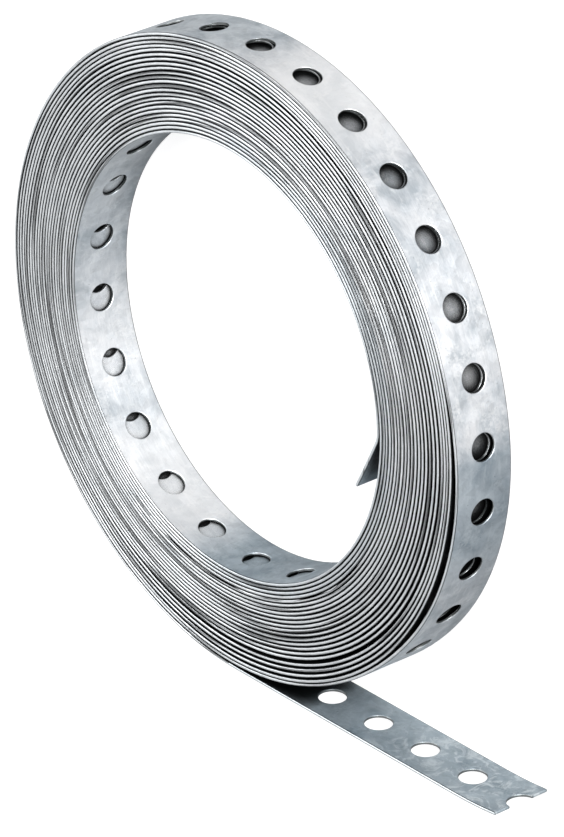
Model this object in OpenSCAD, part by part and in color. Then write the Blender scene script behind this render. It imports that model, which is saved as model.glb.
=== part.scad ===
// Coil of flat perforated steel strap, lying on its side with its outer end drawn off straight.
// The strap is one piece. It runs from the cut end of the tail, past the coil and round it, turn by turn
// inwards, to the short flap in the eye. X runs along the tail, Y from the tail across the coil, and Z up,
// across the strap. Millimetres.

/* [Strap] */
// Width of the strap.
strap_w = 17; // [10:0.5:30]
// Thickness of the sheet.
strap_t = 0.8; // [0.5:0.05:1.5]

/* [Holes] */
// Diameter of the punched holes.
hole_d = 7; // [3:0.1:9]
// Distance from one hole to the next along the strap.
hole_pitch = 17; // [10:0.5:30]
// Turns with their holes cut, at the outside and again at the inside. No view reaches those between.
open_turns = 3; // [1:1:15]

/* [Coil] */
// Radius over the outermost turn, to its outer face.
coil_r = 81.695; // [60:0.005:120]
// Number of turns in the coil.
turns = 24; // [8:1:30]
// Gap between turns where they are wound tight, on the side away from the tail's cut end.
tight_gap = 0.18; // [0.15:0.01:1]
// Gap between the tail and the coil beside it.
tail_gap = 0.5; // [0.4:0.05:4]
// The gap where the coil has sprung open, counted from the outside.
sprung_turn = 5; // [2:1:7]
// What that gap gains on the side that is not tight.
sprung_gap = 0.45; // [0:0.05:2]
// Share of that gain that each further gap keeps of the one before it.
sprung_share = 0.9; // [0.3:0.05:0.9]
// How far the outermost turns sag towards the tail.
sag_h = 1.8; // [0:0.1:4]
// Number of turns that sag. From the third one on they sag less and less.
sag_turns = 5; // [3:1:7]
// Height of the wave in the outermost turn, beside its sag.
wave_h = 1.5; // [0.1:0.1:4]

/* [Ends] */
// Length of the straight tail, from its cut end to where the coil bends away from it.
tail_l = 94.4; // [40:0.1:200]
// Length of the tail that curls up at its cut end.
curl_l = 14; // [5:0.5:25]
// Angle by which the cut end curls up.
curl_angle = 6.5; // [1:0.5:20]
// Length of the flap that stands into the eye.
flap_l = 16; // [5:0.5:30]
// Angle of the kink that turns the flap inwards.
kink_angle = 27; // [5:1:60]
// Radius of the kink.
kink_r = 6; // [3:0.5:15]

/* [Hidden] */
$fn = 96;
galvanised = [0.70, 0.73, 0.76];

// Half turns meet at this angle, where the coil is loosest, and opposite it, where it is tightest.
joint_angle = 8;
flap_angle = 2;
flap_set = 3;
// The wave has a tight crest between two flatter slopes. Its crest begins where the half turns meet.
crest = 46;
slope = 22;
// A sag spreads over a whole lower half turn, flat to either side and tight in its middle.
side = crest + slope;
belly = 180 - 2 * side;

// Radii of the upper and the lower half of turn j, at the middle of the sheet.
function mm(v) = round(v * 1000) / 1000;
function loose_gap(j) = tight_gap + (j < sprung_turn ? 0 : sprung_gap * pow(sprung_share, j - sprung_turn));
function upper_r(j) = mm(j == 1 ? coil_r - strap_t / 2 : lower_r(j - 1) - (strap_t + loose_gap(j - 1)) / 2);
function lower_r(j) = mm(upper_r(j) - (strap_t + tight_gap) / 2);

// What a bulge of height 1 adds to the radius on its slopes, and the share of that it takes off on its crest.
function off_share(top, flank) = (sin(top / 2 + flank) - sin(top / 2)) / sin(top / 2);
function lift(top, flank) =
    1 / (cos(top / 2) - cos(top / 2 + flank) - (1 - cos(top / 2)) * off_share(top, flank));
on_slope = mm(wave_h * lift(crest, slope));
off_crest = mm(on_slope * off_share(crest, slope));
function sag_of(j) = sag_h * min(1, max(0, (sag_turns + 1 - j) / (sag_turns - 1)));
function on_side(j) = mm(sag_of(j) * lift(belly, side));
function off_belly(j) = mm(on_side(j) * off_share(belly, side));

// The first bend away from the tail is wider, which leaves room for the sag and the gap beside the tail.
to_tail = 90 + joint_angle;
sag_at_tail = on_side(1) * (1 - cos(to_tail)) - (on_side(1) + off_belly(1)) * (1 - cos(to_tail - side));
rise_r = mm(upper_r(1) + (strap_t + tail_gap + sag_at_tail
    - (1 + sin(joint_angle)) * (strap_t + tight_gap) / 2) / (1 - sin(joint_angle)));

// The strap's legs in order, from the cut end inwards: an arc is [radius, angle], a straight [0, length].
tail = [[mm(curl_l * 180 / PI / curl_angle), curl_angle], [0, tail_l - curl_l], [rise_r, 90 - joint_angle]];
function sagging(j) = [[lower_r(j) - off_belly(j), belly], [lower_r(j) + on_side(j), side]];
first_turn = concat([[upper_r(1), 180 - slope], [upper_r(1) + on_slope, slope],
    [lower_r(1) + on_side(1) - off_crest, crest], [lower_r(1) + on_side(1) + on_slope, slope]], sagging(1));
mid_turns = [for (j = [2 : turns - 1]) each concat([[upper_r(j), 180]],
    sag_of(j) > 0 ? concat([[lower_r(j) + on_side(j), side]], sagging(j)) : [[lower_r(j), 180]])];
last_turn = [[upper_r(turns), 180 + joint_angle - flap_angle], [kink_r, kink_angle],
    [mm(flap_l * 180 / PI / flap_set), flap_set]];
legs = concat(tail, first_turn, mid_turns, last_turn);

// Where each leg starts, at the middle of the sheet: [x, y, heading, length so far].
function past(p, leg) = let (h = p[2], r = leg[0], g = h - leg[1]) r == 0
    ? [p[0] + leg[1] * cos(h), p[1] + leg[1] * sin(h), h, p[3] + leg[1]]
    : [p[0] + r * (sin(h) - sin(g)), p[1] - r * (cos(h) - cos(g)), g, p[3] + r * leg[1] * PI / 180];
cut_end = [tail_l - curl_l + legs[0][0] * sin(curl_angle),
    strap_t / 2 + legs[0][0] * (1 - cos(curl_angle)), 180 + curl_angle, 0];
starts = [for (k = 0, p = cut_end; k <= len(legs); p = past(p, legs[min(k, len(legs) - 1)]), k = k + 1) p];
strap_l = starts[len(legs)][3];
// The middle of the whole part lies over the origin.
mid_x = mm((cut_end[0] - sin(cut_end[2]) * strap_t / 2
    + starts[3][0] + upper_r(1) * (sin(starts[3][2]) - 1) - strap_t / 2) / 2);
mid_y = mm((starts[3][1] + upper_r(1) * (1 - cos(starts[3][2])) + strap_t / 2) / 2);

// Position and heading of the hole at distance d along the strap. The first one is halved by the cut.
function leg_at(d) = len([for (p = starts) if (p[3] <= d) p]) - 1;
function hole_pose(d) = let (k = leg_at(d), r = legs[k][0], on = d - starts[k][3])
    past(starts[k], r == 0 ? [0, on] : [r, on / r * 180 / PI]);

// True for a leg whose holes can be seen.
function is_open(k) = let (wound = cut_end[2] - starts[k][2], all = cut_end[2] - starts[len(legs)][2])
    wound < 360 * open_turns || wound > all - 360 * open_turns;

// Moves by whole hundredths and then by the small rest, so that the legs meet without a step.
module at(x, y) {
    near = [round(x * 100) / 100, round(y * 100) / 100, 0];
    translate(near) translate([x, y, 0] - near) children();
}

module hole(d) {
    p = hole_pose(d);
    at(p[0], p[1]) translate([0, 0, strap_w / 2]) rotate([90, 0, p[2]])
        cylinder(d = hole_d, h = 4 * strap_t, center = true);
}

module plain_leg(k) {
    p = starts[k];
    r = legs[k][0];
    if (r == 0)
        at(p[0] - legs[k][1], p[1])
            translate([0, -strap_t / 2, 0]) cube([legs[k][1], strap_t, strap_w]);
    else
        at(p[0] + r * sin(p[2]), p[1] - r * cos(p[2]))
            rotate_extrude(start = p[2] + 90 - legs[k][1], angle = legs[k][1])
            translate([r - strap_t / 2, 0]) square([strap_t, strap_w]);
}

// One leg with every hole that lies on it or reaches over from its neighbour.
module leg(k) {
    first = ceil((starts[k][3] - hole_d / 2) / hole_pitch);
    last = floor(min(starts[k + 1][3] + hole_d / 2, strap_l - hole_d / 2) / hole_pitch);
    if (is_open(k)) difference() {
        plain_leg(k);
        for (i = [first : 1 : last]) hole(i * hole_pitch);
    }
    else plain_leg(k);
}

module perforated_strap() color(galvanised) translate([-mid_x, -mid_y, 0]) union() {
    for (k = [0 : len(legs) - 1]) leg(k);
}

perforated_strap();
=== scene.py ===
import math
from types import SimpleNamespace

import bpy
from mathutils import Matrix, Vector


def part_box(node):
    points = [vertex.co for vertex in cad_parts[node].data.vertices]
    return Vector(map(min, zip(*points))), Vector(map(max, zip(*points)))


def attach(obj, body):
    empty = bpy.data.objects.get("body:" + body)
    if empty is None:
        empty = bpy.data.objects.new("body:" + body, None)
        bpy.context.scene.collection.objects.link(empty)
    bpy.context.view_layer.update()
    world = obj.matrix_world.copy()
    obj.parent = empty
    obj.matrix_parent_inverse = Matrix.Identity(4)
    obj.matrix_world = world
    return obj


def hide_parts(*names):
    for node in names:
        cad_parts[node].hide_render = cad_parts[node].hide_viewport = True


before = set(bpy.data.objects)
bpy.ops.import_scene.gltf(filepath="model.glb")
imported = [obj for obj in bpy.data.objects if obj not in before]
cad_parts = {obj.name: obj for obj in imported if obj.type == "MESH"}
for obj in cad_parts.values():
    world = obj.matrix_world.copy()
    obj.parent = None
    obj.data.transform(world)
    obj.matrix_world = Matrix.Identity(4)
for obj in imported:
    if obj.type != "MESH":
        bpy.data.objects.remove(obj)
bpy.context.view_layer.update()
strap_low, strap_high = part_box("perforated_strap")

MM = 0.001
STRAP_W = strap_high.z - strap_low.z
ROLLED_EDGE = 0.3 * MM
# The coil lies on its end. Where its axis meets the floor, the outermost turn's radius, and the tail's place.
COIL = (-7.79 * MM, 1.24 * MM)
COIL_R = 81.3 * MM
EYE_R = 60.0 * MM                      # lies between the eye's wall and the turns that no view reaches
HIDDEN_R = 70.0 * MM                   # lies among the turns that no view reaches
TAIL_Y = strap_low.y + 0.4 * MM
TAIL_TOP = TAIL_Y + 0.6 * MM
PAST_COIL = COIL_R + 3.0 * MM


# ---------------------------------------------------------------- camera

YAW, PITCH, ROLL = math.radians(49.385), math.radians(27.229), math.radians(-0.121)
STAND = (1054.86, 699.98, 910.76)      # where the camera stands, in millimetres
LENS, SENSOR = 278.04, 36.0


def long_lens():
    """A long lens that sees the coil's upper end and its outer face, with the tail running off to the right."""
    back = Vector((math.sin(YAW) * math.cos(PITCH), math.sin(PITCH), math.cos(YAW) * math.cos(PITCH)))
    right = Vector((math.cos(YAW), 0.0, -math.sin(YAW)))
    level = Matrix((right, back.cross(right), back)).transposed()
    turn = (level @ Matrix.Rotation(ROLL, 3, "Z")).to_4x4()
    cam = bpy.data.cameras.new("long_lens")
    cam.lens = LENS
    cam.sensor_width = SENSOR
    cam.clip_end = 20.0
    eye = bpy.data.objects.new("long_lens", cam)
    eye.matrix_world = Matrix.Translation(Vector(STAND) * MM) @ turn
    bpy.context.scene.collection.objects.link(eye)
    bpy.context.scene.camera = eye


# ---------------------------------------------------------------- wiring of materials

def grey(value, tint=(0.0, 0.0, 0.0)):
    return (value + tint[0], value + tint[1], value + tint[2], 1.0)


class Wiring:
    """A material's nodes, added one at a time. A value is a number, a colour or another node's output."""

    def __init__(self, name):
        self.material = bpy.data.materials.new(name)
        self.material.use_nodes = True
        self.tree = self.material.node_tree
        self.tree.nodes.clear()

    def feed(self, socket, value):
        if hasattr(value, "is_output"):
            self.tree.links.new(value, socket)
        else:
            socket.default_value = value

    def add(self, kind, values=None, **settings):
        made = self.tree.nodes.new("ShaderNode" + kind)
        for key, value in settings.items():
            setattr(made, key, value)
        for key, value in (values or {}).items():
            self.feed(made.inputs[key], value)
        return made.outputs[0] if made.outputs else None

    def maths(self, what, a, b=0.0, c=0.0):
        return self.add("Math", {0: a, 1: b, 2: c}, operation=what)

    def times(self, first, *others):
        for other in others:
            first = self.maths("MULTIPLY", first, other)
        return first

    def ramp(self, factor, *stops):
        out = self.add("ValToRGB", {0: factor})
        band = out.node.color_ramp
        while len(band.elements) < len(stops):
            band.elements.new(0.5)
        for element, (place, colour) in zip(band.elements, stops):
            element.position = place
            if isinstance(colour, (int, float)):
                colour = (colour, colour, colour)
            element.color = (*colour, 1.0)
        return out

    def noise(self, where, scale, detail=3.0, rough=0.55, warp=0.0):
        return self.add("TexNoise", {"Vector": where, "Scale": scale, "Detail": detail, "Roughness": rough,
                                     "Distortion": warp})

    def stretched(self, where, scale):
        return self.add("Mapping", {"Vector": where, "Scale": scale})

    def blend(self, factor, a, b, how="MIX"):
        made = self.tree.nodes.new("ShaderNodeMix")
        made.data_type = "RGBA"
        made.blend_type = how
        for number, value in ((0, factor), (6, a), (7, b)):
            self.feed(made.inputs[number], value)
        return made.outputs[2]

    def darken(self, factor, a, b):
        return self.blend(factor, a, b, "MULTIPLY")


# ---------------------------------------------------------------- steel

def lie_of_the_strap(w):
    """Where a point lies on the coil or its tail: round it, out from its axis, and along the sheet."""
    place = w.add("TexCoord").node.outputs["Object"]
    apart = w.add("SeparateXYZ", {0: place}).node.outputs
    east = w.maths("SUBTRACT", apart["X"], COIL[0])
    north = w.maths("SUBTRACT", apart["Y"], COIL[1])
    turned = w.maths("ARCTAN2", north, east)
    out_from = w.maths("SQRT", w.maths("ADD", w.times(east, east), w.times(north, north)))

    # Measured along the strap, from the radius outwards, and up its width: the grain of the sheet follows these.
    on_tail = w.maths("GREATER_THAN", out_from, PAST_COIL)
    on_coil = w.maths("SUBTRACT", 1.0, on_tail)
    along = w.maths("ADD", w.times(turned, on_coil), w.times(w.maths("DIVIDE", east, COIL_R), on_tail))
    layer = w.times(out_from, 6.0, on_coil)
    sheet = w.add("CombineXYZ", {"X": w.times(along, COIL_R), "Y": layer, "Z": apart["Z"]})

    low = w.times(w.maths("LESS_THAN", apart["Y"], TAIL_TOP), w.maths("GREATER_THAN", east, 0.0))
    curled = w.maths("GREATER_THAN", east, PAST_COIL)
    return SimpleNamespace(
        place=place, height=apart["Z"], east=east, north=north, turned=turned, out_from=out_from,
        on_tail=on_tail, sheet=sheet, combed=w.stretched(sheet, (0.12, 1.0, 1.0)),
        drawn_off=w.maths("MAXIMUM", low, curled))


def mottled_zinc(w, at):
    """Cloudy spangle with drag marks along the strap, smudges, scratched patches and pits."""
    cloud = w.ramp(w.noise(at.place, 105.0, 6.0, 0.66, 0.6), (0.32, (0.46, 0.50, 0.535)),
                   (0.52, (0.69, 0.71, 0.735)), (0.72, (0.88, 0.885, 0.895)))
    spangle = w.add("TexVoronoi", {"Vector": at.sheet, "Scale": 420.0, "Randomness": 1.0}).node.outputs["Color"]
    zinc = w.darken(0.8, cloud, w.ramp(w.add("SeparateColor", {0: spangle}), (0.0, 0.90), (1.0, 1.06)))
    drag = w.ramp(w.noise(at.combed, 900.0, 3.0, 0.6), (0.56, 0.0), (0.70, 1.0))
    zinc = w.blend(w.times(drag, 0.35), zinc, grey(0.93))
    smudge = w.ramp(w.noise(at.sheet, 260.0, 5.0, 0.65, 1.0), (0.60, 0.0), (0.72, 1.0))
    zinc = w.blend(w.times(smudge, 0.45), zinc, grey(0.38, (0.0, 0.01, 0.02)))
    patch = w.ramp(w.noise(at.sheet, 130.0, 3.0, 0.6, 0.8), (0.52, 0.0), (0.60, 1.0))
    broken = w.ramp(w.noise(at.sheet, 1100.0, 3.0, 0.7), (0.42, 0.0), (0.60, 1.0))
    zinc = w.blend(w.times(patch, broken, 0.45), zinc, grey(0.92))
    pits = w.ramp(w.noise(at.place, 1700.0, 2.0, 0.5), (0.70, 0.0), (0.76, 1.0))
    return w.blend(w.times(pits, 0.55), zinc, grey(0.25))


def outside_painted_light_and_scuffs(w, at, zinc):
    """The outermost turn carries a painted highlight on its crown and painted shade at its end and on its far
    side; the tail is painted darker and bluer as shade, and is scuffed.
    """
    last_turn = w.times(w.maths("GREATER_THAN", at.out_from, COIL_R - 0.7 * MM),
                        w.maths("GREATER_THAN", at.turned, -1.8))
    # Painted shade on the outermost turn near its end.
    last_quarter = w.ramp(w.maths("ADD", at.turned, 0.5), (0.06, 0.35), (0.24, 0.95), (0.53, 0.90), (0.60, 0.0))
    zinc = w.darken(w.times(last_turn, last_quarter), zinc, (0.55, 0.61, 0.65, 1.0))
    half_turns = w.maths("DIVIDE", at.turned, math.pi)
    # A painted highlight on the outermost turn's crown.
    crown = w.ramp(half_turns, (0.30, 0.0), (0.38, 0.65), (0.43, 0.65), (0.48, 0.0))
    zinc = w.blend(w.times(last_turn, crown), zinc, grey(0.95))
    # Painted shade, bluish, on the outermost turn's far side.
    far_side = w.ramp(half_turns, (0.46, 0.0), (0.52, 0.6))
    zinc = w.darken(w.times(last_turn, far_side), zinc, (0.70, 0.76, 0.79, 1.0))

    # Painted shade: the drawn-off tail is darkened and blued.
    zinc = w.darken(at.drawn_off, zinc, (0.70, 0.775, 0.81, 1.0))
    scuff = w.ramp(w.noise(at.sheet, 190.0, 6.0, 0.62, 2.2), (0.50, 0.0), (0.62, 1.0))
    worn = w.ramp(w.maths("DIVIDE", at.east, 2.0 * COIL_R), (0.22, 0.0), (0.40, 1.0))
    return w.blend(w.times(scuff, worn, at.drawn_off, 0.55), zinc, (0.82, 0.87, 0.89, 1.0))


def eye_painted_light(w, at, zinc):
    """In the eye the strap's colour carries painted light: painted highlights in bands up its wall, and painted
    shade at its foot and at its crown.
    """
    inside = w.maths("LESS_THAN", at.out_from, EYE_R)
    from_foot = w.maths("DIVIDE", w.maths("ARCTAN2", w.times(at.east, -1.0), w.times(at.north, -1.0)), math.pi)
    # Painted highlights in bands up the eye's wall.
    eye_highlight = w.ramp(from_foot, (0.05, 0.0), (0.11, 0.85), (0.24, 0.95), (0.31, 0.0), (0.36, 0.1), (0.41, 0.5),
                   (0.48, 0.0), (0.62, 0.0), (0.70, 0.5))
    zinc = w.blend(w.times(eye_highlight, inside, 0.55), zinc, grey(0.95))
    # Painted shade at the eye's foot and crown.
    eye_shade = w.ramp(from_foot, (0.03, 1.0), (0.11, 0.0), (0.27, 0.0), (0.31, 0.25), (0.36, 0.0), (0.46, 0.1),
                  (0.54, 0.4), (0.66, 0.5))
    return w.darken(w.times(eye_shade, inside), zinc, (0.58, 0.65, 0.69, 1.0))


def slit_edges_and_gaps(w, at, zinc):
    """The slit edges lie up and down. Between them the gaps are painted dark as shade, by how near other surfaces
    lie, and no two gaps are painted as deep in shadow as each other.
    """
    way = w.add("SeparateXYZ", {0: w.add("NewGeometry").node.outputs["True Normal"]}).node.outputs["Z"]
    is_edge = w.ramp(w.maths("ABSOLUTE", way), (0.35, 0.0), (0.60, 1.0))
    burr = w.ramp(w.noise(w.stretched(at.sheet, (1.0, 0.3, 1.0)), 1400.0, 4.0, 0.7),
                  (0.25, (0.66, 0.69, 0.70)), (0.75, (0.93, 0.95, 0.96)))
    steel = w.blend(w.times(is_edge, 0.75), zinc, burr)

    nearby = w.add("AmbientOcclusion", {"Distance": 0.006}, samples=6, only_local=True).node.outputs["AO"]
    turn_by_turn = {"X": w.times(at.out_from, 1.6)}
    for axis, reach in (("Y", at.east), ("Z", at.north)):
        turn_by_turn[axis] = w.times(w.maths("DIVIDE", reach, at.out_from), 0.0016)
    uneven = w.blend(at.drawn_off, w.noise(w.add("CombineXYZ", turn_by_turn), 1100.0, 1.0), grey(0.5))
    # Painted shade in the gaps between turns, set deeper in some gaps than in others.
    shade = w.times(w.maths("SUBTRACT", 1.0, nearby), w.maths("SUBTRACT", uneven, 0.50), 15.0)
    gap_shade = w.darken(1.0, w.ramp(w.maths("ADD", nearby, shade), (0.68, 0.0), (0.90, 1.0)),
                   w.ramp(uneven, (0.36, 0.32), (0.44, 1.0)))

    # What shows through a hole is painted dark as shade, darker on the outside, where the next turn lies deeper,
    # than in the eye.
    hole_shade = w.blend(w.maths("LESS_THAN", at.out_from, HIDDEN_R),
                   w.ramp(nearby, (0.50, 0.01), (0.78, 0.20), (0.92, 0.97)),
                   w.ramp(nearby, (0.50, 0.02), (0.70, 0.40), (0.80, 0.98)))
    return w.darken(1.0, steel, w.blend(is_edge, hole_shade, gap_shade))


def shaded_shoulders(w, at, facing, steel):
    """Where an edge rounds over towards the next turn its colour is painted darker as shade, the more so the
    further the rounding turns from the end face.
    """
    from_middle = w.maths("ABSOLUTE", w.maths("SUBTRACT", at.height, STRAP_W / 2))
    at_edge = w.maths("GREATER_THAN", from_middle, STRAP_W / 2 - ROLLED_EDGE - 0.02 * MM)
    shoulder = w.ramp(w.maths("ABSOLUTE", facing["Z"]), (0.22, 0.06), (0.84, 1.0))
    return w.darken(at_edge, steel, shoulder)


def punched_walls(w, at, facing, steel):
    """The punched walls are bare and rough, and their near-black colour is partly that bare steel and partly
    painted shade: they lie across the strap's thickness, in the middle of its width.
    """
    outwards = w.maths("DIVIDE", w.maths("ADD", w.times(facing["X"], at.east), w.times(facing["Y"], at.north)),
                       at.out_from)
    through = w.blend(at.on_tail, w.maths("ABSOLUTE", outwards), w.maths("ABSOLUTE", facing["Y"]))
    across = w.maths("COMPARE", at.height, STRAP_W / 2, 4.0 * MM)
    rim = w.blend(at.drawn_off, w.ramp(through, (0.25, 1.0), (0.55, 0.0)),
                  w.ramp(through, (0.55, 1.0), (0.90, 0.0)))
    return w.blend(w.times(rim, across, 0.8), steel, grey(0.10, (0.0, 0.01, 0.01)))


def galvanised_steel():
    """Hot-dip zinc on slit and punched steel."""
    w = Wiring("galvanised_steel")
    at = lie_of_the_strap(w)
    facing = w.add("SeparateXYZ", {0: w.add("NewGeometry").node.outputs["Normal"]}).node.outputs
    zinc = eye_painted_light(w, at, outside_painted_light_and_scuffs(w, at, mottled_zinc(w, at)))
    steel = slit_edges_and_gaps(w, at, zinc)
    steel = shaded_shoulders(w, at, facing, steel)
    steel = punched_walls(w, at, facing, steel)
    gloss = w.maths("ADD", 0.40, w.times(w.noise(at.sheet, 300.0, 4.0), 0.2))
    dents = w.maths("ADD", w.times(w.noise(at.combed, 1300.0, 3.0), 0.5), w.noise(at.place, 60.0, 2.0))
    skin = w.add("Bump", {"Strength": 0.25, "Distance": 0.0004, "Height": dents})
    shader = w.add("BsdfPrincipled", {"Base Color": steel, "Metallic": 0.85, "Roughness": gloss, "Normal": skin})
    w.add("OutputMaterial", {"Surface": shader})
    return w.material


# ---------------------------------------------------------------- strap

def rolled_strap():
    """The coil with its tail, its sheared edges broken by a small radius as the slitting rolls leave them."""
    bpy.ops.object.select_all(action="DESELECT")
    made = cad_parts["perforated_strap"]
    made.select_set(True)
    bpy.context.view_layer.objects.active = made
    bpy.ops.object.duplicate()
    strap = bpy.context.object
    strap.name = "rolled_strap"
    strap.parent = None
    bpy.ops.object.mode_set(mode="EDIT")
    bpy.ops.mesh.select_all(action="SELECT")
    bpy.ops.mesh.remove_doubles(threshold=0.01 * MM)
    bpy.ops.mesh.tris_convert_to_quads(face_threshold=math.radians(2), shape_threshold=math.radians(170))
    bpy.ops.object.mode_set(mode="OBJECT")
    bpy.ops.mesh.customdata_custom_splitnormals_clear()
    bpy.ops.object.shade_smooth()
    edge = strap.modifiers.new("broken_edge", "BEVEL")
    edge.width = ROLLED_EDGE
    edge.segments = 2
    edge.limit_method = "ANGLE"
    edge.angle_limit = math.radians(50)
    edge.use_clamp_overlap = False
    edge.loop_slide = False
    edge.harden_normals = True
    bpy.ops.object.modifier_apply(modifier=edge.name)
    strap.data.materials.clear()
    strap.data.materials.append(galvanised_steel())
    for key in [k for k in strap.keys() if k.startswith("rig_")]:
        del strap[key]
    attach(strap, "root")
    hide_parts("perforated_strap")


# ---------------------------------------------------------------- studio

def pale_floor():
    """A grey floor that takes shadows, lifted to white as the camera sees it."""
    w = Wiring("pale_floor")
    lit = w.add("BsdfDiffuse", {"Color": grey(0.32)})
    seen = w.add("LightPath").node.outputs["Is Camera Ray"]
    lift = w.add("Emission", {"Color": grey(1.0), "Strength": w.times(seen, 0.84)})
    w.add("OutputMaterial", {"Surface": w.add("AddShader", {0: lit, 1: lift})})
    return w.material


def floor():
    bpy.ops.object.select_all(action="DESELECT")
    bpy.ops.mesh.primitive_plane_add(size=8.0, location=(0.0, 0.0, -0.2 * MM))
    slab = bpy.context.object
    slab.name = "floor"
    slab.data.materials.append(pale_floor())


def softbox(name, where, width, height, power):
    """A rectangular lamp that points at the middle of the part."""
    lamp = bpy.data.lights.new(name, "AREA")
    lamp.shape = "RECTANGLE"
    lamp.size, lamp.size_y, lamp.energy = width, height, power
    box = bpy.data.objects.new(name, lamp)
    box.location = where
    box.rotation_euler = (-Vector(where)).to_track_quat("-Z", "Y").to_euler()
    bpy.context.scene.collection.objects.link(box)


def studio():
    world = bpy.data.worlds.new("studio")
    world.use_nodes = True
    sky = world.node_tree.nodes["Background"].inputs
    sky["Color"].default_value = (0.77, 0.80, 0.84, 1.0)
    sky["Strength"].default_value = 0.30
    bpy.context.scene.world = world
    softbox("high_window", (-0.50, 0.30, 1.15), 0.7, 0.7, 16.5)
    softbox("side_window", (1.04, 0.64, 0.40), 1.05, 0.4, 36.0)
    bpy.context.scene.view_settings.view_transform = "Standard"


long_lens()
floor()
studio()
rolled_strap()
